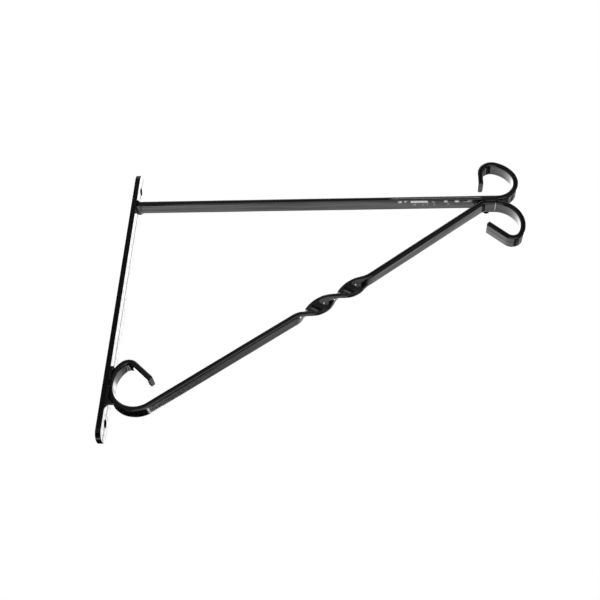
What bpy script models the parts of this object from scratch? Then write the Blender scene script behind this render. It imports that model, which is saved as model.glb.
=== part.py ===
"""Hanging basket hook: a welded wall bracket of flat bar with a twisted brace and three scrolls.

Metres, +Z up. The origin is the centre of the wall plate's back face, +X points out from the wall.
"""
import math

import bmesh
import bpy
from mathutils import Matrix, Vector

MM = 0.001

# Bar stock
BAR_WIDTH = 14 * MM
BAR_THICKNESS = 4.6 * MM
BAR_ARRIS = 0.6 * MM

# Gap that is kept between pieces that are welded together
JOINT_GAP = 0.3 * MM

# Wall plate
PLATE_HEIGHT = 265 * MM
PLATE_WIDTH = 18 * MM
PLATE_THICKNESS = 4.6 * MM
PLATE_CORNER_RADIUS = 8 * MM
PLATE_ARRIS = 0.5 * MM
HOLE_DIAMETER = 7 * MM
HOLE_FROM_END = 16 * MM
HOLE_CUTTER_OVERRUN = 2 * MM

# Level arm and the scroll at its tip, which turns up and back over the arm
ARM_BELOW_PLATE_TOP = 34 * MM
ARM_PAST_LAP_START = 10.3 * MM
HOOK_FRONT_RADIUS = 17.2 * MM
HOOK_FRONT_TURN = math.radians(121)
HOOK_CROWN_RADIUS = 25.5 * MM
HOOK_CROWN_TURN = math.radians(43)
HOOK_BACK_RADIUS = 10.3 * MM
HOOK_TAIL_LENGTH = 12 * MM
HOOK_TAIL_HEADING = math.radians(270)

# Lap where the brace lies under the arm, and the scroll that follows it
LAP_START = 317.2 * MM
LAP_LENGTH = 7.3 * MM
TIP_FRONT_RADIUS = 23.2 * MM
TIP_FRONT_TURN = math.radians(116)
TIP_BOTTOM_RADIUS = 7.8 * MM
TIP_BOTTOM_TURN = math.radians(105)
TIP_TAIL_LENGTH = 20.5 * MM

# Slanted brace, from the lap down to the scroll at the plate
LAP_BEND_RADIUS = 8 * MM
UPPER_SLOPE = math.radians(37.2)
UPPER_LENGTH = 119 * MM
TWIST_SLOPE = math.radians(32.6)
TWIST_LENGTH = 73.5 * MM
LOWER_SLOPE = math.radians(35.3)
SET_BEND_RADIUS = 40 * MM
TWIST_TURN = math.radians(360)
TWIST_EASE_SHARE = 0.12
UPPER_ROLL = math.radians(1.5)

# Scroll at the plate, pressed against it so far that its back has a flat
FOOT_BOTTOM_RADIUS = 21.3 * MM
FOOT_TOP_RADIUS = 22.8 * MM
FOOT_BACK_STRAIGHT = 1.85 * MM
FOOT_FLAT_DEPTH = 1.8 * MM
FOOT_TURN = math.radians(175)
FOOT_CROWN_RADIUS = 7.4 * MM
FOOT_CROWN_TURN = math.radians(82)
FOOT_TAIL_LENGTH = 20.5 * MM

# Weld beads
WELD_ARM_UNDER_REACH = 3.4 * MM
WELD_ARM_UNDER_DROP = 2.4 * MM
WELD_ARM_TOP_REACH = 1.8 * MM
WELD_ARM_TOP_RISE = 1.8 * MM
WELD_BULGE_SHARE = 0.22
WELD_THIN_END = 1 * MM
WELD_FOOT_THIN_END = 0.7 * MM
WELD_FOOT_RISE = 14 * MM
WELD_FOOT_DROP = 17 * MM
WELD_FOOT_LENGTH = 6 * MM
WELD_TIP_THICK_END = 3.2 * MM
WELD_END_INSET = 0.5 * MM
WELD_ROUND = 0.4 * MM
NEAR_BEAD_PAST_LAP_START = 4.1 * MM
NEAR_BEAD_LENGTH = 14 * MM
NEAR_BEAD_HEIGHT = 5 * MM
NEAR_BEAD_DEPTH = 1.4 * MM
FAR_BEAD_PAST_LAP_START = 1.3 * MM
FAR_BEAD_LENGTH = 7 * MM
FAR_BEAD_HEIGHT = 8 * MM
FAR_BEAD_DEPTH = 1.5 * MM

# Fineness of curves
ARC_STEP = math.radians(6)
TWIST_STEPS = 40
BULGE_STEPS = 6
CORNER_STEPS = 6
ARRIS_STEPS = 2
HOLE_SIDES = 32
BEAD_SIDES = 24
BEAD_RINGS = 12
SMOOTH_ANGLE = math.radians(35)

# Paint colours, linear light
BAR_BLACK = (0.010, 0.010, 0.011, 1)
WELD_BLACK = (0.014, 0.014, 0.015, 1)
BAR_ROUGHNESS = 0.22
WELD_ROUGHNESS = 0.34

# Heights and places that follow from the sizes above
ARM_Z = PLATE_HEIGHT / 2 - ARM_BELOW_PLATE_TOP
ARM_START = PLATE_THICKNESS + JOINT_GAP
LAP_Z = ARM_Z - BAR_THICKNESS - JOINT_GAP
ARM_STRAIGHT_END = LAP_START + ARM_PAST_LAP_START
NEAR_BEAD_X = LAP_START + NEAR_BEAD_PAST_LAP_START
FAR_BEAD_X = LAP_START + FAR_BEAD_PAST_LAP_START
WELD_BAR_LENGTH = BAR_WIDTH - 2 * WELD_END_INSET
FOOT_BACK_X = PLATE_THICKNESS + JOINT_GAP
FOOT_MIDDLE_X = FOOT_BACK_X - FOOT_FLAT_DEPTH + BAR_THICKNESS / 2
FOOT_BOTTOM_X = FOOT_MIDDLE_X + FOOT_BOTTOM_RADIUS
FOOT_TOP_X = FOOT_MIDDLE_X + FOOT_TOP_RADIUS


def clear_objects():
    for old in list(bpy.data.objects):
        bpy.data.objects.remove(old, do_unlink=True)


def paint(name, colour, roughness):
    material = bpy.data.materials.new(name)
    material.use_nodes = True
    shader = material.node_tree.nodes["Principled BSDF"]
    shader.inputs["Base Color"].default_value = colour
    shader.inputs["Roughness"].default_value = roughness
    shader.inputs["Metallic"].default_value = 0
    shader.inputs["Coat Weight"].default_value = 1
    return material


def add_object(name, bm, material):
    bmesh.ops.recalc_face_normals(bm, faces=bm.faces)
    mesh = bpy.data.meshes.new(name)
    bm.to_mesh(mesh)
    bm.free()
    mesh.materials.append(material)
    mesh.shade_smooth()
    mesh.set_sharp_from_angle(angle=SMOOTH_ANGLE)
    piece = bpy.data.objects.new(name, mesh)
    bpy.context.scene.collection.objects.link(piece)
    return piece


def round_edges(piece, width):
    bevel = piece.modifiers.new("rounded edges", "BEVEL")
    bevel.width = width
    bevel.segments = ARRIS_STEPS
    bevel.limit_method = "ANGLE"
    bevel.angle_limit = SMOOTH_ANGLE


class BarPath:
    """Centre line of a bent bar in the plane Y = 0. A station is (x, z, heading, roll)."""

    def __init__(self, x, z, heading):
        self.stations = [(x, z, heading, 0)]

    def straight(self, length, steps=1, roll_at=None):
        x, z, heading, roll = self.stations[-1]
        for step in range(1, steps + 1):
            share = step / steps
            station_roll = roll_at(share) if roll_at else roll
            station_x = x + length * share * math.cos(heading)
            station_z = z + length * share * math.sin(heading)
            self.stations.append((station_x, station_z, heading, station_roll))

    def bend(self, radius, turn):
        """An arc: a positive turn goes to the left of the heading."""
        x, z, heading, roll = self.stations[-1]
        side = math.copysign(radius, turn)
        centre_x = x - side * math.sin(heading)
        centre_z = z + side * math.cos(heading)
        steps = max(1, round(abs(turn) / ARC_STEP))
        for step in range(1, steps + 1):
            now = heading + turn * step / steps
            station_x = centre_x + side * math.sin(now)
            station_z = centre_z - side * math.cos(now)
            self.stations.append((station_x, station_z, now, roll))

    def turned_round(self):
        """The stations from the last to the first, headed the other way."""
        return [(x, z, heading + math.pi, roll) for x, z, heading, roll in reversed(self.stations)]


def station_frame(station):
    """Matrix whose X runs across the bar, Y through its thickness and Z along it."""
    x, z, heading, roll = station
    along = Vector((math.cos(heading), 0, math.sin(heading)))
    across = Vector((0, 1, 0))
    normal = Vector((-math.sin(heading), 0, math.cos(heading)))
    wide = across * math.cos(roll) + normal * math.sin(roll)
    thick = normal * math.cos(roll) - across * math.sin(roll)
    turned = Matrix((wide, thick, along)).transposed().to_4x4()
    return Matrix.Translation((x, 0, z)) @ turned


def sweep_bar(stations):
    """A rounded flat section, extruded from station to station."""
    bm = bmesh.new()
    bmesh.ops.create_grid(bm, x_segments=1, y_segments=1, size=0.5)
    bmesh.ops.scale(bm, vec=(BAR_WIDTH, BAR_THICKNESS, 1), verts=bm.verts)
    bmesh.ops.bevel(
        bm, geom=bm.verts[:], offset=BAR_ARRIS, segments=ARRIS_STEPS, profile=0.5, affect="VERTICES"
    )
    frame = station_frame(stations[0])
    bmesh.ops.transform(bm, matrix=frame, verts=bm.verts)
    start_face = bm.faces[:]
    end_face = start_face
    for station in stations[1:]:
        grown = bmesh.ops.extrude_face_region(bm, geom=end_face)["geom"]
        if end_face != start_face:
            bmesh.ops.delete(bm, geom=end_face, context="FACES_ONLY")
        end_face = [item for item in grown if isinstance(item, bmesh.types.BMFace)]
        new_frame = station_frame(station)
        moved = [item for item in grown if isinstance(item, bmesh.types.BMVert)]
        bmesh.ops.transform(bm, matrix=new_frame @ frame.inverted(), verts=moved)
        frame = new_frame
    return bm


def extrude_profile(outline, near_y, length):
    """A closed outline of (x, z) points, extruded along +Y from near_y."""
    bm = bmesh.new()
    corners = [bm.verts.new((x, near_y, z)) for x, z in outline]
    face = bm.faces.new(corners)
    grown = bmesh.ops.extrude_face_region(bm, geom=[face])["geom"]
    moved = [item for item in grown if isinstance(item, bmesh.types.BMVert)]
    bmesh.ops.translate(bm, vec=(0, length, 0), verts=moved)
    return bm


def cut_away(bm, point, outward):
    """Cuts off what lies beyond a plane and closes the cut."""
    everything = bm.verts[:] + bm.edges[:] + bm.faces[:]
    cut = bmesh.ops.bisect_plane(bm, geom=everything, plane_co=point, plane_no=outward, clear_outer=True)
    rim = [item for item in cut["geom_cut"] if isinstance(item, bmesh.types.BMEdge)]
    bmesh.ops.holes_fill(bm, edges=rim)


def bulged_line(start, end, bulge):
    """Points from start to end on a shallow arc that stands out by bulge to the left."""
    run = Vector(end) - Vector(start)
    left = Vector((-run.y, run.x)).normalized()
    points = []
    for step in range(BULGE_STEPS + 1):
        share = step / BULGE_STEPS
        rise = bulge * math.sin(math.pi * share)
        point = Vector(start) + run * share + left * rise
        points.append((point.x, point.y))
    return points


def plate_hole_cutter(name, z):
    bm = bmesh.new()
    bmesh.ops.create_cone(
        bm,
        cap_ends=True,
        segments=HOLE_SIDES,
        radius1=HOLE_DIAMETER / 2,
        radius2=HOLE_DIAMETER / 2,
        depth=PLATE_THICKNESS + 2 * HOLE_CUTTER_OVERRUN,
        matrix=Matrix.Rotation(math.pi / 2, 4, "Y"),
    )
    cutter = add_object(name, bm, paint("cutter " + name, BAR_BLACK, BAR_ROUGHNESS))
    cutter.location = (PLATE_THICKNESS / 2, 0, z)
    cutter.hide_render = True
    cutter.display_type = "WIRE"
    return cutter


def make_wall_plate():
    bm = bmesh.new()
    bmesh.ops.create_cube(bm, size=1)
    bmesh.ops.scale(bm, vec=(PLATE_THICKNESS, PLATE_WIDTH, PLATE_HEIGHT), verts=bm.verts)
    bmesh.ops.translate(bm, vec=(PLATE_THICKNESS / 2, 0, 0), verts=bm.verts)
    corners = [edge for edge in bm.edges if edge.verts[0].co.x != edge.verts[1].co.x]
    bmesh.ops.bevel(
        bm,
        geom=corners,
        offset=PLATE_CORNER_RADIUS,
        segments=CORNER_STEPS,
        profile=0.5,
        affect="EDGES",
    )
    plate = add_object("wall_plate", bm, paint("wall plate paint", BAR_BLACK, BAR_ROUGHNESS))
    round_edges(plate, PLATE_ARRIS)
    hole_z = PLATE_HEIGHT / 2 - HOLE_FROM_END
    for end, z in (("top", hole_z), ("bottom", -hole_z)):
        cut = plate.modifiers.new(end + " screw hole", "BOOLEAN")
        cut.operation = "DIFFERENCE"
        cut.solver = "EXACT"
        cut.object = plate_hole_cutter(end + "_hole_cutter", z)


def arm_path():
    path = BarPath(ARM_START, ARM_Z, 0)
    path.straight(ARM_STRAIGHT_END - ARM_START)
    path.bend(HOOK_FRONT_RADIUS, HOOK_FRONT_TURN)
    path.bend(HOOK_CROWN_RADIUS, HOOK_CROWN_TURN)
    path.bend(HOOK_BACK_RADIUS, HOOK_TAIL_HEADING - HOOK_FRONT_TURN - HOOK_CROWN_TURN)
    path.straight(HOOK_TAIL_LENGTH)
    return path.stations


def make_top_arm():
    add_object("top_arm", sweep_bar(arm_path()), paint("arm paint", BAR_BLACK, BAR_ROUGHNESS))


def eased_turn(share):
    """Share of the twist that is done at a share of its length: steady, with soft ends."""
    ease = TWIST_EASE_SHARE
    steady = 1 / (1 - ease)
    if share < ease:
        return steady * share * share / (2 * ease)
    if share > 1 - ease:
        left = 1 - share
        return 1 - steady * left * left / (2 * ease)
    return steady * (share - ease / 2)


def twist_roll(share_from_top):
    full = TWIST_TURN + UPPER_ROLL
    return full * eased_turn(1 - share_from_top) - TWIST_TURN


def brace_path():
    """Stations from the tail of the scroll at the plate to the tail of the scroll under the tip,
    and the heights of the centres of the bottom and the top of the scroll at the plate."""
    down = BarPath(LAP_START, LAP_Z, math.pi)
    down.bend(LAP_BEND_RADIUS, UPPER_SLOPE)
    upper_steps = max(1, round(UPPER_LENGTH / BAR_WIDTH))
    down.straight(UPPER_LENGTH, upper_steps, lambda share: UPPER_ROLL * share)
    down.bend(SET_BEND_RADIUS, TWIST_SLOPE - UPPER_SLOPE)
    down.straight(TWIST_LENGTH, TWIST_STEPS, twist_roll)
    down.bend(SET_BEND_RADIUS, LOWER_SLOPE - TWIST_SLOPE)
    x, _, heading, _ = down.stations[-1]
    down.straight((FOOT_BOTTOM_X - x - FOOT_BOTTOM_RADIUS * math.sin(heading)) / math.cos(heading))
    bottom_z = down.stations[-1][1] - FOOT_BOTTOM_RADIUS * math.cos(heading)
    turn_to_wall = heading - math.pi / 2
    down.bend(FOOT_BOTTOM_RADIUS, -turn_to_wall)
    down.straight(FOOT_BACK_STRAIGHT)
    top_z = down.stations[-1][1]
    down.bend(FOOT_TOP_RADIUS, turn_to_wall - FOOT_TURN)
    down.bend(FOOT_CROWN_RADIUS, -FOOT_CROWN_TURN)
    down.straight(FOOT_TAIL_LENGTH)

    out = BarPath(LAP_START, LAP_Z, 0)
    out.straight(LAP_LENGTH)
    out.bend(TIP_FRONT_RADIUS, -TIP_FRONT_TURN)
    out.bend(TIP_BOTTOM_RADIUS, -TIP_BOTTOM_TURN)
    out.straight(TIP_TAIL_LENGTH)
    return down.turned_round()[:-1] + out.stations, bottom_z, top_z


def make_brace(stations):
    bm = sweep_bar(stations)
    cut_away(bm, (FOOT_BACK_X, 0, 0), (-1, 0, 0))
    add_object("brace", bm, paint("brace paint", BAR_BLACK, BAR_ROUGHNESS))


def make_weld(name, bm):
    weld = add_object(name, bm, paint(name.replace("_", " ") + " paint", WELD_BLACK, WELD_ROUGHNESS))
    round_edges(weld, WELD_ROUND)


def make_arm_welds():
    """Fillet beads in the corners between the arm and the plate, below and above the arm."""
    for name, side, reach, leg in (
        ("weld_arm_under", -1, WELD_ARM_UNDER_REACH, WELD_ARM_UNDER_DROP),
        ("weld_arm_top", 1, WELD_ARM_TOP_REACH, WELD_ARM_TOP_RISE),
    ):
        corner_x = PLATE_THICKNESS + JOINT_GAP
        corner_z = ARM_Z + side * (BAR_THICKNESS / 2 + JOINT_GAP)
        on_plate = (corner_x, corner_z + side * leg)
        on_arm = (corner_x + reach, corner_z)
        outline = [(corner_x, corner_z)]
        outline += bulged_line(on_plate, on_arm, side * leg * WELD_BULGE_SHARE)
        make_weld(name, extrude_profile(outline, -WELD_BAR_LENGTH / 2, WELD_BAR_LENGTH))


def make_foot_welds(bottom_z, top_z):
    """Beads in the two wedges between the plate and the scroll that touches it, on the near side."""
    wall_x = PLATE_THICKNESS + JOINT_GAP
    near_y = WELD_END_INSET - PLATE_WIDTH / 2
    for name, side, reach, centre_x, centre_z in (
        ("weld_scroll_upper", 1, WELD_FOOT_RISE, FOOT_TOP_X, top_z),
        ("weld_scroll_lower", -1, WELD_FOOT_DROP, FOOT_BOTTOM_X, bottom_z),
    ):
        outer = centre_x - FOOT_MIDDLE_X + BAR_THICKNESS / 2 + JOINT_GAP
        thin_angle = math.acos((centre_x - wall_x - WELD_FOOT_THIN_END) / outer)
        far_angle = math.asin(reach / outer)
        steps = max(1, round((far_angle - thin_angle) / ARC_STEP))
        outline = []
        for step in range(steps + 1):
            angle = thin_angle + (far_angle - thin_angle) * step / steps
            x = centre_x - outer * math.cos(angle)
            outline.append((x, centre_z + side * outer * math.sin(angle)))
        far_end = outline[-1]
        wall_end = (wall_x, far_end[1])
        bulge = side * (far_end[0] - wall_x) * WELD_BULGE_SHARE
        outline += bulged_line(far_end, wall_end, -bulge)[1:]
        outline.append((wall_x, outline[0][1]))
        make_weld(name, extrude_profile(outline, near_y, WELD_FOOT_LENGTH))


def make_tip_inner_weld():
    """Bead in the narrow V between the arm and the brace, left of the lap."""
    arm_z = ARM_Z - BAR_THICKNESS / 2 - JOINT_GAP
    outer = LAP_BEND_RADIUS + BAR_THICKNESS / 2 + JOINT_GAP
    centre_z = LAP_Z - LAP_BEND_RADIUS
    thin_angle = math.acos((arm_z - WELD_THIN_END - centre_z) / outer)
    steps = max(1, round((UPPER_SLOPE - thin_angle) / ARC_STEP))
    outline = []
    for step in range(steps + 1):
        angle = thin_angle + (UPPER_SLOPE - thin_angle) * step / steps
        outline.append((LAP_START - outer * math.sin(angle), centre_z + outer * math.cos(angle)))
    bend_x, bend_z = outline[-1]
    run = max(0, WELD_TIP_THICK_END - (arm_z - bend_z)) / math.tan(UPPER_SLOPE)
    foot = (bend_x - run, bend_z - run * math.tan(UPPER_SLOPE))
    outline.append(foot)
    outline += bulged_line(foot, (foot[0], arm_z), WELD_TIP_THICK_END * WELD_BULGE_SHARE)[1:]
    outline.append((outline[0][0], arm_z))
    make_weld("weld_tip_inner", extrude_profile(outline, -WELD_BAR_LENGTH / 2, WELD_BAR_LENGTH))


def make_side_bead(name, side, middle_x, length, height, depth):
    """Half of a drawn-out ball on one side of the lap, flat towards the bars. All have their tops
    level with the top of the near one."""
    bm = bmesh.new()
    bmesh.ops.create_uvsphere(bm, u_segments=BEAD_SIDES, v_segments=BEAD_RINGS, radius=1)
    bmesh.ops.scale(bm, vec=(length / 2, depth, height / 2), verts=bm.verts)
    cut_away(bm, (0, 0, 0), (0, -side, 0))
    bead = add_object(name, bm, paint(name.replace("_", " ") + " paint", WELD_BLACK, WELD_ROUGHNESS))
    middle_z = (ARM_Z + BAR_THICKNESS / 2 + LAP_Z - BAR_THICKNESS / 2) / 2
    drop = (height - NEAR_BEAD_HEIGHT) / 2
    bead.location = (middle_x, side * (BAR_WIDTH / 2 + JOINT_GAP), middle_z - drop)


def main():
    clear_objects()
    make_wall_plate()
    make_top_arm()
    brace_stations, bottom_z, top_z = brace_path()
    make_brace(brace_stations)
    make_arm_welds()
    make_foot_welds(bottom_z, top_z)
    make_tip_inner_weld()
    make_side_bead(
        "weld_tip_near", -1, NEAR_BEAD_X, NEAR_BEAD_LENGTH, NEAR_BEAD_HEIGHT, NEAR_BEAD_DEPTH
    )
    make_side_bead("weld_tip_far", 1, FAR_BEAD_X, FAR_BEAD_LENGTH, FAR_BEAD_HEIGHT, FAR_BEAD_DEPTH)


main()
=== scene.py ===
import math

import bmesh
import bpy
from mathutils import Matrix, Vector, noise


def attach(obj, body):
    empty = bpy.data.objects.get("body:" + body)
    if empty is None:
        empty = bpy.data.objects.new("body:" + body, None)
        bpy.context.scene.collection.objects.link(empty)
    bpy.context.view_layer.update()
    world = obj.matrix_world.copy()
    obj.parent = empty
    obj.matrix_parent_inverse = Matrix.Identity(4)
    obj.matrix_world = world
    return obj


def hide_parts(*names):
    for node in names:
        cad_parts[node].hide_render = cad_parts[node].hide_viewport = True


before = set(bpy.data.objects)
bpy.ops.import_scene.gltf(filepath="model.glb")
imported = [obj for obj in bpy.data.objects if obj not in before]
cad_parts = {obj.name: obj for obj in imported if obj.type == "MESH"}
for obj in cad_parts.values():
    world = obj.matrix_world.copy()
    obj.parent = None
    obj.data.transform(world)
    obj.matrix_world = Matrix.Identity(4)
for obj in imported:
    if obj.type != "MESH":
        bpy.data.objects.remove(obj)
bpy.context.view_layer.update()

MM = 0.001

# Camera, as the photograph was taken: from below, on the near side
CAMERA_PLACE = (0.22811, -0.69541, -0.42774)
CAMERA_TURN = tuple(math.radians(angle) for angle in (121.3683, -2.1983, 4.5366))
CAMERA_LENS = 57.968
CAMERA_SENSOR = 36
CAMERA_CLIP_START = 0.01
CAMERA_CLIP_END = 100

# Flat bar that the arm and the brace are bent from
BAR_WIDTH = 14 * MM
BAR_THICKNESS = 4.6 * MM
BAR_ARRIS = 1.8 * MM
ARRIS_STEPS = 4
ACROSS_CUTS = 7
EDGE_CUTS = 2
END_ROUND = 0.9 * MM
JOINT_GAP = 0.3 * MM

# Wall plate
PLATE_HEIGHT = 265 * MM
PLATE_WIDTH = 18 * MM
PLATE_THICKNESS = 4.6 * MM
PLATE_CORNER_RADIUS = 8 * MM
PLATE_ARRIS = 0.3 * MM
PLATE_CORNER_STEPS = 10
HOLE_DIAMETER = 7 * MM
HOLE_FROM_END = 16 * MM
HOLE_SIDES = 56

# Level arm and its hook
ARM_BELOW_PLATE_TOP = 34 * MM
ARM_PAST_LAP_START = 10.3 * MM
HOOK_FRONT_RADIUS = 17.2 * MM
HOOK_FRONT_TURN = math.radians(121)
HOOK_CROWN_RADIUS = 25.5 * MM
HOOK_CROWN_TURN = math.radians(43)
HOOK_BACK_RADIUS = 10.3 * MM
HOOK_TAIL_LENGTH = 12 * MM
HOOK_TAIL_HEADING = math.radians(270)

# Lap of the brace under the arm, and the scroll that follows it
LAP_START = 317.2 * MM
LAP_LENGTH = 7.3 * MM
TIP_FRONT_RADIUS = 23.2 * MM
TIP_FRONT_TURN = math.radians(116)
TIP_BOTTOM_RADIUS = 7.8 * MM
TIP_BOTTOM_TURN = math.radians(105)
TIP_TAIL_LENGTH = 20.5 * MM

# Slanted brace with its twist
LAP_BEND_RADIUS = 8 * MM
UPPER_SLOPE = math.radians(37.2)
UPPER_LENGTH = 119 * MM
TWIST_SLOPE = math.radians(32.6)
TWIST_LENGTH = 73.5 * MM
LOWER_SLOPE = math.radians(35.3)
SET_BEND_RADIUS = 40 * MM
TWIST_TURN = math.radians(360)
TWIST_EASE_SHARE = 0.12
UPPER_ROLL = math.radians(1.5)

# Scroll at the plate
FOOT_BOTTOM_RADIUS = 21.3 * MM
FOOT_TOP_RADIUS = 22.8 * MM
FOOT_BACK_STRAIGHT = 1.85 * MM
FOOT_FLAT_DEPTH = 1.8 * MM
FOOT_TURN = math.radians(175)
FOOT_CROWN_RADIUS = 7.4 * MM
FOOT_CROWN_TURN = math.radians(82)
FOOT_TAIL_LENGTH = 20.5 * MM

# Floor, and the light on all that isn't glossy
FLOOR_REACH = 1.55
FLOOR_Z = -0.95
WIDE_FLOOR_REACH = 12
WIDE_FLOOR_DROP = 1 * MM
WIDE_FLOOR_SIDES = 180
PLAIN_LEVEL = 0.9
FLOOR_PALE = (0.86, 0.86, 0.86, 1)
FLOOR_PALER = (0.9, 0.9, 0.9, 1)
CARD_BLACK = (0.004, 0.004, 0.004, 1)

# Fineness of the sweep
ARC_STEP = math.radians(2)
STRAIGHT_STEP = 2.5 * MM
TWIST_STEP = 0.7 * MM
SHARP_ANGLE = math.radians(50)

# Unevenness of rolled and bent bar
WAVE_LENGTH = 26 * MM
WAVE_DEPTH = 0.05 * MM
DENT_LENGTH = 8 * MM
DENT_DEPTH = 0.015 * MM

# Weld beads
WELD_ARM_UNDER_REACH = 3.2 * MM
WELD_ARM_UNDER_DROP = 1.1 * MM
WELD_ARM_TOP_REACH = 1.5 * MM
WELD_ARM_TOP_RISE = 1.5 * MM
WELD_ARM_BULGE_SHARE = 0.1
WELD_FOOT_BULGE_SHARE = -0.05
WELD_FOOT_INSET = 0.15 * MM
WELD_BULGE_SHARE = 0.22
WELD_SINK = 0.35 * MM
WELD_THIN_END = 1 * MM
WELD_FOOT_COVER = 1.2 * MM
WELD_FOOT_NEAR_ANGLE = math.radians(3)
WELD_FOOT_RISE = 14 * MM
WELD_FOOT_DROP = 17 * MM
WELD_FOOT_LENGTH = 6 * MM
WELD_TIP_THICK_END = 3.2 * MM
WELD_END_INSET = 0.5 * MM
NEAR_BEAD_PAST_LAP_START = 4.1 * MM
NEAR_BEAD_SIZE = (14 * MM, 1.7 * MM, 5.4 * MM)
FAR_BEAD_PAST_LAP_START = 1.3 * MM
FAR_BEAD_SIZE = (7 * MM, 1.7 * MM, 8 * MM)
BEAD_SIDES = 64
BEAD_RINGS = 32
BEAD_STEP = 0.22 * MM
BEAD_END_POWER = 7
BULGE_STEPS = 10
RIPPLE_PITCH = 1.5 * MM
RIPPLE_DEPTH = 0.12 * MM
LUMP_LENGTH = 3.2 * MM
LUMP_DEPTH = 0.22 * MM

ARM_Z = PLATE_HEIGHT / 2 - ARM_BELOW_PLATE_TOP
ARM_START = PLATE_THICKNESS
LAP_Z = ARM_Z - BAR_THICKNESS - JOINT_GAP
FOOT_BACK_X = PLATE_THICKNESS
FOOT_MIDDLE_X = FOOT_BACK_X + JOINT_GAP - FOOT_FLAT_DEPTH + BAR_THICKNESS / 2
FOOT_BOTTOM_X = FOOT_MIDDLE_X + FOOT_BOTTOM_RADIUS
FOOT_TOP_X = FOOT_MIDDLE_X + FOOT_TOP_RADIUS
BAR_PLACE = "bar_place"


class Value:
    """A number that a material's nodes work out, for use in sums."""

    def __init__(self, finish, socket):
        self.finish = finish
        self.socket = socket

    def sum_of(self, operation, *terms):
        sockets = dict(enumerate(terms))
        return self.finish.add("ShaderNodeMath", {"operation": operation}, sockets)

    def __add__(self, other):
        return self.sum_of("ADD", self, other)

    __radd__ = __add__

    def __sub__(self, other):
        return self.sum_of("SUBTRACT", self, other)

    def __rsub__(self, other):
        return self.sum_of("SUBTRACT", other, self)

    def __mul__(self, other):
        return self.sum_of("MULTIPLY", self, other)

    __rmul__ = __mul__

    def __truediv__(self, other):
        return self.sum_of("DIVIDE", self, other)

    def __abs__(self):
        return self.sum_of("ABSOLUTE", self)

    def larger(self, other):
        return self.sum_of("MAXIMUM", self, other)

    def rise(self, low, high):
        """0 below low and 1 above high, with a soft start and end."""
        settings = {"interpolation_type": "SMOOTHSTEP"}
        return self.finish.add(
            "ShaderNodeMapRange", settings, {"Value": self, "From Min": low, "From Max": high}
        )

    def between(self, low, high, soft):
        """1 from low to high and 0 outside, with soft limits."""
        return self.rise(low - soft, low + soft) * (1 - self.rise(high - soft, high + soft))


class Nodes:
    """The nodes of a material or of the world, and the one way in which they are added."""

    def __init__(self, owner):
        owner.use_nodes = True
        self.tree = owner.node_tree

    def node(self, kind, settings, sockets):
        node = self.tree.nodes.new(kind)
        for name, setting in settings.items():
            setattr(node, name, setting)
        for name, given in sockets.items():
            self.feed(node.inputs[name], given)
        return node

    def add(self, kind, settings, sockets, output=0):
        return Value(self, self.node(kind, settings, sockets).outputs[output])

    def feed(self, socket, given):
        if isinstance(given, Value):
            self.tree.links.new(given.socket, socket)
        else:
            socket.default_value = given

    def parts(self, vector):
        split = self.node("ShaderNodeSeparateXYZ", {}, {0: vector})
        return [Value(self, output) for output in split.outputs]

    def mapped(self, vector, scale, offset=(0, 0, 0)):
        return self.add("ShaderNodeMapping", {}, {"Vector": vector, "Scale": scale, "Location": offset})

    def noise(self, vector, scale, detail=2, roughness=0.5):
        sockets = {"Vector": vector, "Scale": scale, "Detail": detail, "Roughness": roughness}
        return self.add("ShaderNodeTexNoise", {}, sockets)

    def blend(self, share, first, second):
        """Colour between two, by a share from 0 to 1."""
        settings = {"data_type": "RGBA"}
        mix = self.node("ShaderNodeMix", settings, {})
        colours_in = [socket for socket in mix.inputs if socket.type == "RGBA"]
        self.feed(mix.inputs[0], share)
        self.feed(colours_in[0], first)
        self.feed(colours_in[1], second)
        colour_out = next(socket for socket in mix.outputs if socket.type == "RGBA")
        return Value(self, colour_out)


# Colours of the paint and of what shows through it or lies on it, and of its painted highlights, in
# linear light
PAINT_BLACK = (0.0013, 0.0013, 0.0015, 1)
PAINT_WORN = (0.014, 0.013, 0.012, 1)
BARE_STEEL = (0.78, 0.77, 0.75, 1)
# Painted highlight: pale grey painted where the gloss would catch the light, on the middle of each nib
# and along the line across the lap
PAINTED_HIGHLIGHT_GREY = (0.7, 0.7, 0.68, 1)
DUST_GREY = (0.004, 0.004, 0.0038, 1)

# Relief of the paint: its depth, and how strongly it shows
RELIEF_DEPTH = 0.2 * MM
RELIEF_STRENGTH = 0.35

# Nibs of paint on the brace, each a real bump with a painted highlight at its middle: run along
# the bar, place across it, radius
TWIST_NIBS = ((267.3 * MM, 1.2 * MM, 1 * MM), (299 * MM, -2 * MM, 1 * MM))
NIB_HEIGHT = 0.5 * MM

# Painted highlight across the lap, a pale line where the gloss would catch the light: run along
# the bar, half of its breadth, and where across the bar it starts and ends and how soft its ends
# are
LAP_PAINTED_HIGHLIGHT = (448.4 * MM, 0.45 * MM, (-6.3 * MM, 3 * MM, 0.6 * MM))

# Rubbed places on the arm: where each starts and ends, and how soft its limits are. A run is
# measured along the bar from the plate, and a row across it from its middle to the near side
SPOTTED_RUN = (236 * MM, 300 * MM, 4 * MM)
SPOTTED_ROW = (3.2 * MM, 5.8 * MM, 0.6 * MM)
INNER_SPOTTED_RUN = (250 * MM, 282 * MM, 3 * MM)
INNER_SPOTTED_ROW = (-0.5 * MM, 1.5 * MM, 0.6 * MM)
INNER_SPOTTED_SHARE = 0.6
SCRATCHED_RUN = (232 * MM, 306 * MM, 5 * MM)
SCRATCH_HEIGHTS = (-0.7 * MM, 0.1 * MM, 0.15 * MM)

# Where across the bar its near side begins, and how deep below its middle its underside does
NEAR_SIDE_RISE = (6.6 * MM, 6.8 * MM)
UNDERSIDE_RISE = (0, 1 * MM)

# Dull seam along the middle of the wall plate
SEAM_HALF_WIDTH = 1.6 * MM


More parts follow.
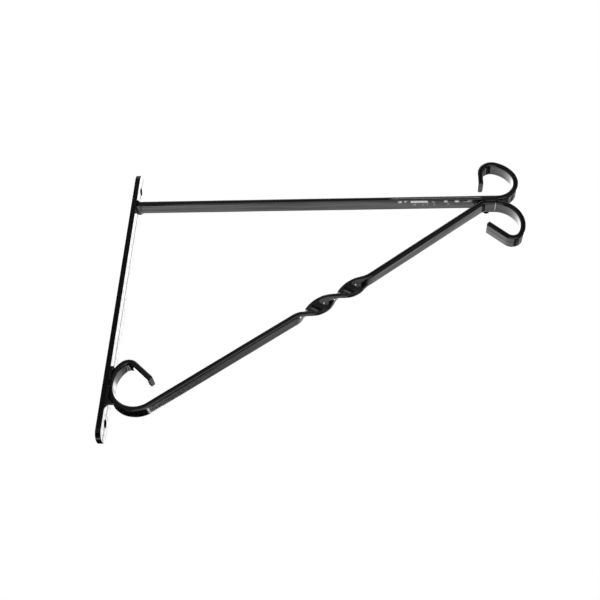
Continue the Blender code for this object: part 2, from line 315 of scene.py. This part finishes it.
def rubbed_places(finish, place):
    """Where the arm's paint is rubbed off: two rows of spots on its underside, and a faint scratch
    on its near side."""
    along, across, through = finish.parts(place)
    nearness = 0 - across
    underside = (0 - through).rise(*UNDERSIDE_RISE)
    spots = finish.noise(finish.mapped(place, (170, 60, 1)), 1, detail=1).rise(0.46, 0.54)
    bare = spots * along.between(*SPOTTED_RUN) * nearness.between(*SPOTTED_ROW) * underside
    inner_spots = finish.noise(finish.mapped(place, (230, 90, 1)), 1, detail=1).rise(0.53, 0.62)
    inner_row = nearness.between(*INNER_SPOTTED_ROW) * underside * INNER_SPOTTED_SHARE
    bare = bare.larger(inner_spots * along.between(*INNER_SPOTTED_RUN) * inner_row)
    faint = finish.noise(finish.mapped(place, (90, 1, 1)), 1, detail=2).rise(0.2, 0.45)
    scratch = nearness.rise(*NEAR_SIDE_RISE) * through.between(*SCRATCH_HEIGHTS)
    return bare.larger(scratch * along.between(*SCRATCHED_RUN) * faint)


def gloss_black(name, along_bar, rough=0.14, coat=1.0, nibs=(), mark=None, rubbed=False, seam=False):
    """Gloss black paint over steel: thin and thick streaks along the piece, a fine orange peel and
    dust, and on a bar thin paint on the arrises with a few tiny chips in it. Nibs are dried drops
    of paint, each with a painted highlight, pale and matt, at its middle; a mark is a painted
    highlight, a pale line across the bar; a rubbed bar has bare spots and a scratch, and a seam is
    a dull line along the piece."""
    material = bpy.data.materials.new(name)
    finish = Nodes(material)
    shader = finish.tree.nodes["Principled BSDF"]
    if along_bar:
        place = finish.add("ShaderNodeAttribute", {"attribute_name": BAR_PLACE}, {}, output=1)
    else:
        place = finish.add("ShaderNodeTexCoord", {}, {}, output=3)
    along, across, through = finish.parts(place)
    streaks = finish.noise(finish.mapped(place, (22, 520, 700)), 1, detail=4, roughness=0.6)
    thin = finish.noise(finish.mapped(place, (16, 330, 330)), 1, detail=2, roughness=0.6)
    peel = finish.noise(place, 900, detail=2)
    waves = finish.noise(place, 75, detail=1)
    cloud = finish.noise(place, 38, detail=3)
    dust = finish.noise(place, 5200, detail=1)
    height = streaks * 0.6 + peel * 0.25 + waves * 2.2

    if along_bar:
        near_side = (abs(across) / (BAR_WIDTH / 2)).rise(0.90, 0.985)
        near_face = (abs(through) / (BAR_THICKNESS / 2)).rise(0.66, 0.95)
        arris = near_side * near_face
    else:
        arris = cloud * 0
    worn = arris * cloud.rise(0.45, 0.7)
    chips = arris * finish.noise(place, 620, detail=3, roughness=0.7).rise(0.66, 0.70)
    chips = chips * cloud.rise(0.5, 0.6)
    if rubbed:
        chips = chips.larger(rubbed_places(finish, place))
    thin_share = thin.rise(0.36, 0.68)
    dull = worn * 0.12 + chips * 0.2
    coat_weight = (1 - chips) * (1 - 0.75 * thin_share) * coat
    if seam:
        line = 1 - (abs(across) / SEAM_HALF_WIDTH).rise(0.3, 1)
        coat_weight = coat_weight * (1 - 0.8 * line)
        dull = dull + line * 0.2
    # Painted highlights, matt and pale grey: a spot on each nib and the line of a mark
    pale = arris * 0
    for run, side, radius in nibs:
        away_along = (along - run) / radius
        away_across = (across - side) / radius
        away = away_along * away_along + away_across * away_across
        height = height + (1 - away.rise(0, 1)) * (NIB_HEIGHT / (RELIEF_DEPTH * RELIEF_STRENGTH))
        # The middle of the nib is painted pale as its painted highlight
        pale = pale.larger(1 - away.rise(0.15, 0.6))
    if mark:
        run, half_breadth, reach = mark
        line = 1 - (abs(along - run) / half_breadth).rise(0.5, 1)
        # The mark is a painted highlight, a pale line across the bar
        pale = pale.larger(line * across.between(*reach))
    coat_weight = coat_weight * (1 - pale)

    colour = finish.blend(thin_share * 0.55, PAINT_BLACK, DUST_GREY)
    colour = finish.blend(dust.rise(0.62, 0.8) * 0.3, colour, DUST_GREY)
    colour = finish.blend(worn * 0.7, colour, PAINT_WORN)
    colour = finish.blend(chips, colour, BARE_STEEL)
    # Painted highlights in pale grey, without the coat
    colour = finish.blend(pale, colour, PAINTED_HIGHLIGHT_GREY)
    roughness = rough + (streaks - 0.5) * 0.18 + (cloud - 0.5) * 0.10 + dull
    relief = {"Strength": RELIEF_STRENGTH, "Distance": RELIEF_DEPTH, "Height": height}
    bump = finish.add("ShaderNodeBump", {}, relief)
    finish.feed(shader.inputs["Base Color"], colour)
    finish.feed(shader.inputs["Roughness"], roughness.larger(0.05))
    finish.feed(shader.inputs["Metallic"], chips)
    finish.feed(shader.inputs["Normal"], bump)
    finish.feed(shader.inputs["Coat Weight"], coat_weight)
    shader.inputs["Coat Roughness"].default_value = 0.06
    return material


class BarPath:
    """Centre line of a bent bar in the plane Y = 0. A station is (x, z, heading, roll)."""

    def __init__(self, x, z, heading):
        self.stations = [(x, z, heading, 0)]

    def straight(self, length, step=STRAIGHT_STEP, roll_at=None):
        x, z, heading, roll = self.stations[-1]
        steps = max(1, round(length / step))
        for number in range(1, steps + 1):
            share = number / steps
            station_roll = roll_at(share) if roll_at else roll
            station_x = x + length * share * math.cos(heading)
            station_z = z + length * share * math.sin(heading)
            self.stations.append((station_x, station_z, heading, station_roll))

    def bend(self, radius, turn):
        """An arc: a positive turn goes to the left of the heading."""
        x, z, heading, roll = self.stations[-1]
        side = math.copysign(radius, turn)
        centre_x = x - side * math.sin(heading)
        centre_z = z + side * math.cos(heading)
        steps = max(1, round(abs(turn) / ARC_STEP))
        for number in range(1, steps + 1):
            now = heading + turn * number / steps
            station_x = centre_x + side * math.sin(now)
            station_z = centre_z - side * math.cos(now)
            self.stations.append((station_x, station_z, now, roll))

    def turned_round(self):
        """The stations from the last to the first, headed the other way."""
        return [(x, z, heading + math.pi, roll) for x, z, heading, roll in reversed(self.stations)]


def arm_stations():
    path = BarPath(ARM_START, ARM_Z, 0)
    path.straight(LAP_START + ARM_PAST_LAP_START - ARM_START)
    path.bend(HOOK_FRONT_RADIUS, HOOK_FRONT_TURN)
    path.bend(HOOK_CROWN_RADIUS, HOOK_CROWN_TURN)
    path.bend(HOOK_BACK_RADIUS, HOOK_TAIL_HEADING - HOOK_FRONT_TURN - HOOK_CROWN_TURN)
    path.straight(HOOK_TAIL_LENGTH)
    return path.stations


def eased_turn(share):
    """Share of the twist that is done at a share of its length: steady, with soft ends."""
    ease = TWIST_EASE_SHARE
    steady = 1 / (1 - ease)
    if share < ease:
        return steady * share * share / (2 * ease)
    if share > 1 - ease:
        left = 1 - share
        return 1 - steady * left * left / (2 * ease)
    return steady * (share - ease / 2)


def twist_roll(share_from_top):
    full = TWIST_TURN + UPPER_ROLL
    return full * eased_turn(1 - share_from_top) - TWIST_TURN


def brace_stations():
    """Stations from the tail of the scroll at the plate to the tail of the scroll under the tip,
    and the heights of the centres of the bottom and the top of the scroll at the plate."""
    down = BarPath(LAP_START, LAP_Z, math.pi)
    down.bend(LAP_BEND_RADIUS, UPPER_SLOPE)
    down.straight(UPPER_LENGTH, roll_at=lambda share: UPPER_ROLL * share)
    down.bend(SET_BEND_RADIUS, TWIST_SLOPE - UPPER_SLOPE)
    down.straight(TWIST_LENGTH, TWIST_STEP, twist_roll)
    down.bend(SET_BEND_RADIUS, LOWER_SLOPE - TWIST_SLOPE)
    x, _, heading, _ = down.stations[-1]
    down.straight((FOOT_BOTTOM_X - x - FOOT_BOTTOM_RADIUS * math.sin(heading)) / math.cos(heading))
    bottom_z = down.stations[-1][1] - FOOT_BOTTOM_RADIUS * math.cos(heading)
    turn_to_wall = heading - math.pi / 2
    down.bend(FOOT_BOTTOM_RADIUS, -turn_to_wall)
    down.straight(FOOT_BACK_STRAIGHT)
    top_z = down.stations[-1][1]
    down.bend(FOOT_TOP_RADIUS, turn_to_wall - FOOT_TURN)
    down.bend(FOOT_CROWN_RADIUS, -FOOT_CROWN_TURN)
    down.straight(FOOT_TAIL_LENGTH)

    out = BarPath(LAP_START, LAP_Z, 0)
    out.straight(LAP_LENGTH)
    out.bend(TIP_FRONT_RADIUS, -TIP_FRONT_TURN)
    out.bend(TIP_BOTTOM_RADIUS, -TIP_BOTTOM_TURN)
    out.straight(TIP_TAIL_LENGTH)
    return down.turned_round()[:-1] + out.stations, bottom_z, top_z


def station_frame(station):
    """Matrix whose X runs across the bar, Y through its thickness and Z along it."""
    x, z, heading, roll = station
    along = Vector((math.cos(heading), 0, math.sin(heading)))
    across = Vector((0, 1, 0))
    normal = Vector((-math.sin(heading), 0, math.cos(heading)))
    wide = across * math.cos(roll) + normal * math.sin(roll)
    thick = normal * math.cos(roll) - across * math.sin(roll)
    turned = Matrix((wide, thick, along)).transposed().to_4x4()
    return Matrix.Translation((x, 0, z)) @ turned


def flat_section(bm):
    """The section of flat bar with rounded arrises, as one face with points along its sides."""
    bmesh.ops.create_grid(bm, x_segments=1, y_segments=1, size=0.5)
    bmesh.ops.scale(bm, vec=(BAR_WIDTH, BAR_THICKNESS, 1), verts=bm.verts)
    bmesh.ops.bevel(
        bm,
        geom=bm.verts[:],
        offset=BAR_ARRIS,
        segments=ARRIS_STEPS,
        profile=0.5,
        affect="VERTICES",
        material=-1,
    )
    wide = [edge for edge in bm.edges if edge.calc_length() > BAR_THICKNESS]
    bmesh.ops.subdivide_edges(bm, edges=wide, cuts=ACROSS_CUTS)
    sides = [
        edge for edge in bm.edges if abs(edge.verts[0].co.x - edge.verts[1].co.x) < BAR_ARRIS / 100
    ]
    bmesh.ops.subdivide_edges(bm, edges=sides, cuts=EDGE_CUTS)


def sweep_bar(stations, seed):
    """The flat section, extruded from station to station, then made a little uneven."""
    bm = bmesh.new()
    flat_section(bm)
    place = bm.verts.layers.float_vector.new(BAR_PLACE)
    for vert in bm.verts:
        vert[place] = Vector((0, vert.co.x, vert.co.y))
    frame_now = station_frame(stations[0])
    bmesh.ops.transform(bm, matrix=frame_now, verts=bm.verts)
    start_face = bm.faces[:]
    end_face = start_face
    run = 0
    for station in stations[1:]:
        grown = bmesh.ops.extrude_face_region(bm, geom=end_face)["geom"]
        if end_face != start_face:
            bmesh.ops.delete(bm, geom=end_face, context="FACES_ONLY")
        end_face = [item for item in grown if isinstance(item, bmesh.types.BMFace)]
        moved = [item for item in grown if isinstance(item, bmesh.types.BMVert)]
        frame_next = station_frame(station)
        run += (frame_next.translation - frame_now.translation).length
        bmesh.ops.transform(bm, matrix=frame_next @ frame_now.inverted(), verts=moved)
        for vert in moved:
            vert[place] = Vector((run, vert[place].y, vert[place].z))
        frame_now = frame_next
    end_edges = {edge for face in start_face + end_face for edge in face.edges}
    bmesh.ops.bevel(
        bm,
        geom=list(end_edges),
        offset=END_ROUND,
        segments=3,
        profile=0.5,
        affect="EDGES",
        material=-1,
    )
    bmesh.ops.recalc_face_normals(bm, faces=bm.faces)
    bm.normal_update()
    for vert in bm.verts:
        spot = vert[place] + Vector((seed, 0, 0))
        wave = noise.noise(spot / WAVE_LENGTH) * WAVE_DEPTH
        dent = noise.noise(spot / DENT_LENGTH) * DENT_DEPTH
        vert.co += vert.normal * (wave + dent)
    return bm


def cut_away(bm, point, outward):
    """Cuts off what lies beyond a plane and closes the cut."""
    everything = bm.verts[:] + bm.edges[:] + bm.faces[:]
    cut = bmesh.ops.bisect_plane(
        bm, geom=everything, plane_co=point, plane_no=outward, clear_outer=True
    )
    rim = [item for item in cut["geom_cut"] if isinstance(item, bmesh.types.BMEdge)]
    bmesh.ops.holes_fill(bm, edges=rim)


def add_piece(name, bm, material, node):
    """A finished piece in place of a node of the CAD part."""
    bmesh.ops.recalc_face_normals(bm, faces=bm.faces)
    mesh = bpy.data.meshes.new(name)
    bm.to_mesh(mesh)
    bm.free()
    mesh.materials.append(material)
    mesh.shade_smooth()
    mesh.set_sharp_from_angle(angle=SHARP_ANGLE)
    piece = bpy.data.objects.new(name, mesh)
    bpy.context.scene.collection.objects.link(piece)
    even = piece.modifiers.new("flat sides shade flat", "WEIGHTED_NORMAL")
    even.keep_sharp = True
    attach(piece, "root")
    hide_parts(node)


def make_wall_plate(paint):
    bm = bmesh.new()
    bmesh.ops.create_grid(bm, x_segments=1, y_segments=1, size=0.5)
    bmesh.ops.scale(bm, vec=(PLATE_HEIGHT, PLATE_WIDTH, 1), verts=bm.verts)
    bmesh.ops.bevel(
        bm,
        geom=bm.verts[:],
        offset=PLATE_CORNER_RADIUS,
        segments=PLATE_CORNER_STEPS,
        profile=0.5,
        affect="VERTICES",
        material=-1,
    )
    bmesh.ops.delete(bm, geom=bm.faces[:], context="FACES_ONLY")
    for side in (-1, 1):
        hole = Matrix.Translation((side * (PLATE_HEIGHT / 2 - HOLE_FROM_END), 0, 0))
        bmesh.ops.create_circle(bm, segments=HOLE_SIDES, radius=HOLE_DIAMETER / 2, matrix=hole)
    bmesh.ops.triangle_fill(bm, edges=bm.edges[:], use_beauty=True)
    grown = bmesh.ops.extrude_face_region(bm, geom=bm.faces[:])["geom"]
    moved = [item for item in grown if isinstance(item, bmesh.types.BMVert)]
    bmesh.ops.translate(bm, vec=(0, 0, PLATE_THICKNESS), verts=moved)
    bmesh.ops.recalc_face_normals(bm, faces=bm.faces)
    rims = [edge for edge in bm.edges if edge.is_manifold and edge.calc_face_angle() > SHARP_ANGLE]
    bmesh.ops.bevel(
        bm, geom=rims, offset=PLATE_ARRIS, segments=4, profile=0.5, affect="EDGES", material=-1
    )
    upright = Matrix.Rotation(-math.pi / 2, 4, "Y")
    bmesh.ops.transform(bm, matrix=upright, verts=bm.verts)
    low_x = min(vert.co.x for vert in bm.verts)
    bmesh.ops.translate(bm, vec=(-low_x, 0, 0), verts=bm.verts)
    add_piece("painted_wall_plate", bm, paint, "wall_plate")


def make_bars(arm_paint, brace_paint):
    arm = sweep_bar(arm_stations(), 1)
    add_piece("painted_arm", arm, arm_paint, "top_arm")
    stations, bottom_z, top_z = brace_stations()
    brace = sweep_bar(stations, 2)
    cut_away(brace, (FOOT_BACK_X, 0, 0), (-1, 0, 0))
    add_piece("painted_brace", brace, brace_paint, "brace")
    return bottom_z, top_z


def bulged_line(start, end, bulge):
    """Points from start to end on a shallow arc that stands out by bulge to the left."""
    run = Vector(end) - Vector(start)
    left = Vector((-run.y, run.x)).normalized()
    points = []
    for step in range(BULGE_STEPS + 1):
        share = step / BULGE_STEPS
        rise = bulge * math.sin(math.pi * share)
        point = Vector(start) + run * share + left * rise
        points.append((point.x, point.y))
    return points


def roughen(bm, seed, along, share=1):
    """Ripples across the run of a weld, and lumps, or a share of them where it is smoother."""
    bm.normal_update()
    for vert in bm.verts:
        spot = vert.co + Vector((seed, 0, 0))
        sway = noise.noise(spot / LUMP_LENGTH)
        phase = (vert.co.dot(along) / RIPPLE_PITCH + 0.5 * sway) * math.pi
        ripple = abs(math.sin(phase)) * RIPPLE_DEPTH
        vert.co += vert.normal * (ripple - RIPPLE_DEPTH / 2 + sway * LUMP_DEPTH) * share


def bead_in_corner(outline, corner, near_y, length, seed, end_share=0.35, lumps=1):
    """A run of weld in a corner: its outline of (x, z) points, drawn along Y in short steps and
    drawn in at both ends, to a share of its section there. Lumps is the share of unevenness."""
    bm = bmesh.new()
    verts = [bm.verts.new((x, near_y, z)) for x, z in outline]
    start_face = [bm.faces.new(verts)]
    end_face = start_face
    steps = round(length / BEAD_STEP)
    pivot = Matrix.Translation((corner[0], 0, corner[1]))

    def fullness(share):
        return max(end_share, 1 - abs(2 * share - 1) ** BEAD_END_POWER) ** 0.5

    size_now = fullness(0)
    bmesh.ops.scale(bm, vec=(size_now, 1, size_now), space=pivot.inverted(), verts=bm.verts)
    for step in range(1, steps + 1):
        grown = bmesh.ops.extrude_face_region(bm, geom=end_face)["geom"]
        if end_face != start_face:
            bmesh.ops.delete(bm, geom=end_face, context="FACES_ONLY")
        end_face = [item for item in grown if isinstance(item, bmesh.types.BMFace)]
        moved = [item for item in grown if isinstance(item, bmesh.types.BMVert)]
        bmesh.ops.translate(bm, vec=(0, length / steps, 0), verts=moved)
        size_next = fullness(step / steps)
        change = size_next / size_now
        bmesh.ops.scale(bm, vec=(change, 1, change), space=pivot.inverted(), verts=moved)
        size_now = size_next
    bmesh.ops.recalc_face_normals(bm, faces=bm.faces)
    roughen(bm, seed, Vector((0, 1, 0)), lumps)
    return bm


def make_arm_welds(paint):
    """Beads in the corners between the arm and the plate, below and above the arm."""
    for seed, name, node, side, reach, leg in (
        (11, "bead_under_arm", "weld_arm_under", -1, WELD_ARM_UNDER_REACH, WELD_ARM_UNDER_DROP),
        (12, "bead_over_arm", "weld_arm_top", 1, WELD_ARM_TOP_REACH, WELD_ARM_TOP_RISE),
    ):
        corner = (
            PLATE_THICKNESS + JOINT_GAP - WELD_SINK,
            ARM_Z + side * (BAR_THICKNESS / 2 + JOINT_GAP - WELD_SINK),
        )
        on_plate = (corner[0], corner[1] + side * (leg + WELD_SINK))
        on_arm = (corner[0] + reach + WELD_SINK, corner[1])
        outline = [corner] + bulged_line(on_plate, on_arm, side * leg * WELD_ARM_BULGE_SHARE)
        bead = bead_in_corner(
            outline,
            corner,
            WELD_END_INSET - BAR_WIDTH / 2,
            BAR_WIDTH - 2 * WELD_END_INSET,
            seed,
            end_share=0.8,
            lumps=0.35,
        )
        add_piece(name, bead, paint, node)


def make_foot_welds(bottom_z, top_z, paint):
    """Beads in the two wedges between the plate and the scroll that touches it, on the near side."""
    wall_x = PLATE_THICKNESS + JOINT_GAP
    near_y = WELD_FOOT_INSET - PLATE_WIDTH / 2
    for seed, name, node, side, reach, centre_x, centre_z in (
        (21, "bead_over_scroll", "weld_scroll_upper", 1, WELD_FOOT_RISE, FOOT_TOP_X, top_z),
        (22, "bead_under_scroll", "weld_scroll_lower", -1, WELD_FOOT_DROP, FOOT_BOTTOM_X, bottom_z),
    ):
        outer = centre_x - FOOT_MIDDLE_X + BAR_THICKNESS / 2 + JOINT_GAP
        far_angle = math.asin(reach / outer)
        wedge_turn = far_angle - WELD_FOOT_NEAR_ANGLE
        steps = max(1, round(wedge_turn / ARC_STEP))
        outline = []
        for step in range(steps + 1):
            angle = WELD_FOOT_NEAR_ANGLE + wedge_turn * step / steps
            x = max(centre_x - outer * math.cos(angle), wall_x + WELD_FOOT_COVER)
            outline.append((x, centre_z + side * outer * math.sin(angle)))
        far_end = outline[-1]
        wall_end = (wall_x - WELD_SINK, far_end[1])
        bulge = side * (far_end[0] - wall_x) * WELD_FOOT_BULGE_SHARE
        outline += bulged_line(far_end, wall_end, -bulge)[1:]
        outline.append((wall_x - WELD_SINK, outline[0][1]))
        middle = sum((Vector(point) for point in outline), Vector((0, 0))) / len(outline)
        bead = bead_in_corner(
            outline, middle, near_y, WELD_FOOT_LENGTH, seed, end_share=0.97, lumps=0.6
        )
        add_piece(name, bead, paint, node)


def make_tip_inner_weld(paint):
    """Bead in the narrow V between the arm and the brace, left of the lap."""
    arm_z = ARM_Z - BAR_THICKNESS / 2 - JOINT_GAP
    outer = LAP_BEND_RADIUS + BAR_THICKNESS / 2 + JOINT_GAP
    centre_z = LAP_Z - LAP_BEND_RADIUS
    thin_angle = math.acos((arm_z - WELD_THIN_END - centre_z) / outer)
    steps = max(1, round((UPPER_SLOPE - thin_angle) / ARC_STEP))
    outline = []
    for step in range(steps + 1):
        angle = thin_angle + (UPPER_SLOPE - thin_angle) * step / steps
        outline.append((LAP_START - outer * math.sin(angle), centre_z + outer * math.cos(angle)))
    bend_x, bend_z = outline[-1]
    run = max(0, WELD_TIP_THICK_END - (arm_z - bend_z)) / math.tan(UPPER_SLOPE)
    foot = (bend_x - run, bend_z - run * math.tan(UPPER_SLOPE))
    outline.append(foot)
    outline += bulged_line(foot, (foot[0], arm_z), WELD_TIP_THICK_END * WELD_BULGE_SHARE)[1:]
    outline.append((outline[0][0], arm_z))
    middle = sum((Vector(point) for point in outline), Vector((0, 0))) / len(outline)
    bead = bead_in_corner(
        outline, middle, WELD_END_INSET - BAR_WIDTH / 2, BAR_WIDTH - 2 * WELD_END_INSET, 31
    )
    add_piece("bead_in_v", bead, paint, "weld_tip_inner")


def make_side_bead(name, node, side, middle_x, size, seed, paint):
    """Half of a drawn-out, lumpy ball on one side of the lap. All have their tops level."""
    length, depth, height = size
    bm = bmesh.new()
    bmesh.ops.create_uvsphere(bm, u_segments=BEAD_SIDES, v_segments=BEAD_RINGS, radius=1)
    bmesh.ops.rotate(bm, matrix=Matrix.Rotation(math.pi / 2, 3, "Y"), verts=bm.verts)
    bmesh.ops.scale(bm, vec=(length / 2, depth, height / 2), verts=bm.verts)
    cut_away(bm, (0, 0, 0), (0, -side, 0))
    middle_z = (ARM_Z + BAR_THICKNESS / 2 + LAP_Z - BAR_THICKNESS / 2) / 2
    drop = (height - NEAR_BEAD_SIZE[2]) / 2
    place = (middle_x, side * (BAR_WIDTH / 2 + JOINT_GAP - WELD_SINK), middle_z - drop)
    bmesh.ops.translate(bm, vec=place, verts=bm.verts)
    bmesh.ops.recalc_face_normals(bm, faces=bm.faces)
    roughen(bm, seed, Vector((1, 0, 0)))
    add_piece(name, bm, paint, node)


def make_tip_side_welds(paint):
    """Beads along the near and the far side of the lap."""
    for seed, name, node, side, past, size in (
        (41, "bead_near_tip", "weld_tip_near", -1, NEAR_BEAD_PAST_LAP_START, NEAR_BEAD_SIZE),
        (42, "bead_far_tip", "weld_tip_far", 1, FAR_BEAD_PAST_LAP_START, FAR_BEAD_SIZE),
    ):
        make_side_bead(name, node, side, LAP_START + past, size, seed, paint)


def make_camera():
    camera_data = bpy.data.cameras.new("camera")
    camera_data.sensor_width = CAMERA_SENSOR
    camera_data.lens = CAMERA_LENS
    camera_data.clip_start = CAMERA_CLIP_START
    camera_data.clip_end = CAMERA_CLIP_END
    camera = bpy.data.objects.new("camera", camera_data)
    camera.location = CAMERA_PLACE
    camera.rotation_euler = CAMERA_TURN
    bpy.context.scene.collection.objects.link(camera)
    bpy.context.scene.camera = camera


def make_floor():
    """A wide pale floor, well below the bracket. Its middle is what the paint mirrors, and the rest
    of it, a hair lower, goes on to the horizon."""
    material = bpy.data.materials.new("pale floor")
    finish = Nodes(material)
    shader = finish.tree.nodes["Principled BSDF"]
    place = finish.add("ShaderNodeTexCoord", {}, {}, output=3)
    grain = finish.noise(place, 6, detail=4)
    finish.feed(shader.inputs["Base Color"], finish.blend(grain, FLOOR_PALE, FLOOR_PALER))
    shader.inputs["Roughness"].default_value = 0.9
    shader.inputs["Specular IOR Level"].default_value = 0.1
    for name, reach, height, mirrored in (
        ("floor", FLOOR_REACH, FLOOR_Z, True),
        ("wide floor", WIDE_FLOOR_REACH, FLOOR_Z - WIDE_FLOOR_DROP, False),
    ):
        bm = bmesh.new()
        if mirrored:
            bmesh.ops.create_grid(bm, x_segments=8, y_segments=8, size=reach)
        else:
            bmesh.ops.create_circle(bm, cap_ends=True, segments=WIDE_FLOOR_SIDES, radius=reach)
        bmesh.ops.translate(bm, vec=(0, 0, height), verts=bm.verts)
        mesh = bpy.data.meshes.new(name)
        bm.to_mesh(mesh)
        bm.free()
        mesh.materials.append(material)
        floor = bpy.data.objects.new(name, mesh)
        floor.visible_glossy = mirrored
        bpy.context.scene.collection.objects.link(floor)


def make_lamp(name, place, aim, size, power):
    lamp_data = bpy.data.lights.new(name, "AREA")
    lamp_data.shape = "RECTANGLE"
    lamp_data.size, lamp_data.size_y = size
    lamp_data.energy = power
    lamp = bpy.data.objects.new(name, lamp_data)
    lamp.location = place
    lamp.rotation_euler = (Vector(aim) - Vector(place)).to_track_quat("-Z", "Y").to_euler()
    lamp.visible_camera = False
    lamp.visible_glossy = False
    bpy.context.scene.collection.objects.link(lamp)


def make_card(name, size, upright, place, fade):
    """A dark card that only the gloss mirrors. A fade is where along X it goes over from the
    colour of the floor to dark, and without one it is dark all over."""
    bm = bmesh.new()
    bmesh.ops.create_grid(bm, x_segments=2, y_segments=2, size=0.5)
    bmesh.ops.scale(bm, vec=(size[0], size[1], 1), verts=bm.verts)
    if upright:
        bmesh.ops.rotate(bm, matrix=Matrix.Rotation(math.pi / 2, 3, "X"), verts=bm.verts)
    bmesh.ops.translate(bm, vec=place, verts=bm.verts)
    mesh = bpy.data.meshes.new(name)
    bm.to_mesh(mesh)
    bm.free()
    material = bpy.data.materials.new(name)
    finish = Nodes(material)
    shader = finish.tree.nodes["Principled BSDF"]
    dark = 1
    if fade:
        x, _, _ = finish.parts(finish.add("ShaderNodeTexCoord", {}, {}, output=3))
        dark = x.rise(*fade)
    finish.feed(shader.inputs["Base Color"], finish.blend(dark, FLOOR_PALE, CARD_BLACK))
    shader.inputs["Roughness"].default_value = 1
    shader.inputs["Specular IOR Level"].default_value = 0
    mesh.materials.append(material)
    card = bpy.data.objects.new(name, mesh)
    card.visible_camera = False
    card.visible_diffuse = False
    card.visible_shadow = False
    bpy.context.scene.collection.objects.link(card)


def make_cards():
    """Dark cards behind the scroll at the plate, and over the right and the front left of the
    floor."""
    for name, size, upright, place, fade in (
        ("dark card behind scroll", (0.33, 0.085), True, (-0.185, 0.12, -0.0975), None),
        ("dark card under scroll", (0.418, 0.36), True, (-0.141, 0.12, -0.32), None),
        ("dark card over floor", (1.1, 1.4), False, (1.0, 0.9, -0.9), (0.48, 0.8)),
        ("dark card in front", (1.3, 1.5), False, (-0.85, -0.75, -0.9), None),
    ):
        make_card(name, size, upright, place, fade)


def make_light():
    """Plain soft light from all sides. What the gloss paint mirrors is a white tent round the back
    of the bracket, dim on the camera's side, with a narrow bright strip and a bright panel."""
    world = bpy.data.worlds.new("white tent")
    bpy.context.scene.world = world
    tent = Nodes(world)
    direction = tent.add("ShaderNodeTexCoord", {}, {}, output=0)
    x, y, z = tent.parts(direction)
    behind = y.rise(0.25, 0.6)
    left = (0 - x).rise(-0.15, 0.5)
    low_right = 0.08 + 0.75 * z.rise(-0.5, 0)
    low_right = low_right + 0.6 * (0 - z).rise(0.4, 0.48) * (1 - x.rise(0.2, 0.35))
    low_left = 1.1 + 1.1 * z.rise(-0.4, 0.4)
    high = 0.5 * z.rise(0.1, 0.6)
    strip = 8 * x.between(0.19, 0.26, 0.015) * z.between(-0.41, -0.24, 0.02)
    panel = 1.5 * x.between(0.2, 0.38, 0.04) * z.between(0.3, 0.68, 0.05)
    back_level = low_right * (1 - left) + low_left * left + high + strip + panel
    dark_low = x.rise(0.46, 0.56) * (1 - z.rise(-0.2, -0.12))
    dark_middle = x.rise(0.53, 0.58) * z.rise(0, 0.04)
    dark_high = x.rise(0.42, 0.46) * z.rise(0.3, 0.36)
    dark_right = dark_low.larger(dark_middle).larger(dark_high)
    dark_above = x.between(-0.3, 0.18, 0.05) * z.rise(0.62, 0.72)
    side = 0.25 * abs(x).rise(0.6, 0.95) * z.rise(-0.2, 0.3)
    facing = z.between(0.35, 0.68, 0.05) * (0 - y).rise(0.5, 0.65)
    toward_camera = 0.01 + 0.1 * x.between(-0.25, -0.09, 0.04)
    front = 0.15 * (1 - y.rise(0.1, 0.3)) * (1 - facing) + toward_camera * facing
    overhead = 0.9 * (0 - y).between(0.3, 0.5, 0.05) * z.rise(0.8, 0.86)
    behind = behind * (1 - 0.85 * dark_right) * (1 - 0.85 * dark_above)
    mirrored = 0.01 + behind * back_level + side + front + overhead
    seen = tent.add("ShaderNodeLightPath", {}, {}, output=0)
    glossy = tent.add("ShaderNodeLightPath", {}, {}, output=3)
    strength = (PLAIN_LEVEL * (1 - glossy) + mirrored * glossy) * (1 - seen) + seen
    background = tent.tree.nodes["Background"]
    background.inputs["Color"].default_value = (1, 1, 1, 1)
    tent.feed(background.inputs["Strength"], strength)
    make_lamp(
        "soft lamp over floor", place=(0.1, 1.2, 1.0), aim=(0.1, 1.3, -0.95), size=(0.9, 0.9), power=8
    )


def main():
    make_camera()
    arm_paint = gloss_black("gloss black on arm", True, rubbed=True)
    brace_paint = gloss_black("gloss black on brace", True, nibs=TWIST_NIBS, mark=LAP_PAINTED_HIGHLIGHT)
    plate_paint = gloss_black("gloss black on wall plate", False, seam=True)
    weld_paint = gloss_black("gloss black on welds", False, rough=0.42, coat=0.25)
    corner_paint = gloss_black("gloss black in corners", False, rough=0.2)
    make_wall_plate(plate_paint)
    bottom_z, top_z = make_bars(arm_paint, brace_paint)
    make_arm_welds(corner_paint)
    make_foot_welds(bottom_z, top_z, weld_paint)
    make_tip_inner_weld(weld_paint)
    make_tip_side_welds(weld_paint)
    make_floor()
    make_cards()
    make_light()
    bpy.context.scene.view_settings.view_transform = "Standard"


main()
